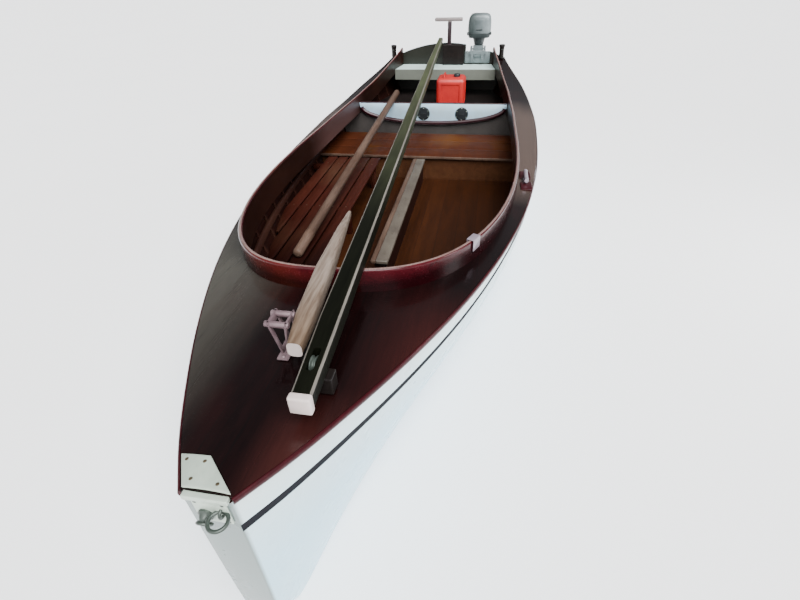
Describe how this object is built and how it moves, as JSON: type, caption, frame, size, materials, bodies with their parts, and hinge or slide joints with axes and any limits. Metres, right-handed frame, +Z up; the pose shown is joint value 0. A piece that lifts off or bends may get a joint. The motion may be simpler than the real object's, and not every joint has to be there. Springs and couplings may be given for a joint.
{
  "type": "decked sailing dayboat with outboard motor",
  "caption": "Decked wooden sailing dayboat with an oval cockpit, centreboard, rudder, tilting outboard motor and its mast laid along the boat.",
  "frame": {"origin": "on the waterline, on the centreline at the aft face of the hull shell", "axes": "+X forward, +Y to port, +Z up"},
  "size_m": [5.6925, 1.7094, 1.4747],
  "materials": {
    "white_paint": "gloss, slightly cold white",
    "cream_paint": "worn cream paint, satin",
    "mahogany": "dark varnished mahogany, high gloss",
    "floor_wood": "brown varnished boards, satin",
    "dark_wood": "almost black varnished wood",
    "spar": "dark varnished spar with pale worn edges",
    "tan_wood": "weathered pale wood",
    "motor_grey": "semi gloss grey",
    "board_grey": "galvanised plate, dull",
    "tank_red": "satin moulded plastic",
    "black": "satin",
    "steel": "polished, slightly dulled"
  },
  "bodies": {
    "hull": {"hull_shell": "white_paint", "transom": "mahogany", "keel_skeg": "white_paint", "deck": "mahogany", "coaming_port": "mahogany", "coaming_starboard": "mahogany", "coaming_front": "mahogany", "rub_rail_port": "mahogany", "rub_rail_starboard": "mahogany", "sole_port": "floor_wood", "sole_starboard": "floor_wood", "trunk": "mahogany", "trunk_cap": "cream_paint", "trunk_cap_edge": "mahogany", "aft_seat": "floor_wood", "seat_riser": "floor_wood", "bench_starboard": "floor_wood", "aft_bulkhead": "motor_grey", "apron": "white_paint", "port_plate_starboard": "black", "port_plate_port": "black", "tank_shelf": "dark_wood", "stern_deck": "white_paint", "stern_block": "dark_wood", "leaning_spar": "tan_wood", "fuel_tank": "tank_red", "tank_cap": "black", "mast": "spar", "mast_cap": "cream_paint", "short_spar": "tan_wood", "spar_chock": "dark_wood", "tabernacle": "steel", "crutch_post": "mahogany", "crutch_bar": "tan_wood", "stemhead_plate": "steel", "stem_nose": "steel", "side_cleat_port": "steel", "side_cleat_starboard": "steel", "quarter_post_port": "dark_wood", "quarter_post_starboard": "dark_wood", "gudgeon_1": "steel", "gudgeon_2": "steel", "motor_clamp": "motor_grey"},
    "rudder": {"rudder_blade": "mahogany", "rudder_head": "dark_wood"},
    "motor_swivel": {"swivel_bracket": "motor_grey"},
    "motor_leg": {"motor_leg": "motor_grey", "motor_cowl": "motor_grey"},
    "propeller": {"propeller": "motor_grey"},
    "centreboard": {"centreboard": "board_grey"}
  },
  "joints": [
    {"name": "rudder_turn", "type": "hinge", "parent": "hull", "child": "rudder", "pos_m": [-0.08, 0, 0], "axis": [0, 0, 1], "range_deg": [-35, 35]},
    {"name": "motor_tilt", "type": "hinge", "parent": "hull", "child": "motor_swivel", "pos_m": [-0.1, 0.325, 0.69], "axis": [0, 1, 0], "range_deg": [0, 70]},
    {"name": "motor_steer", "type": "hinge", "parent": "motor_swivel", "child": "motor_leg", "pos_m": [-0.21, 0.325, 0], "axis": [0, 0, -1], "range_deg": [-35, 35]},
    {"name": "propeller_spin", "type": "hinge", "parent": "motor_leg", "child": "propeller", "pos_m": [-0.345, 0.325, -0.27], "axis": [1, 0, 0], "continuous": true},
    {"name": "centreboard_drop", "type": "hinge", "parent": "hull", "child": "centreboard", "pos_m": [3.46, 0, -0.105], "axis": [0, -1, 0], "range_deg": [0, 60]}
  ]
}
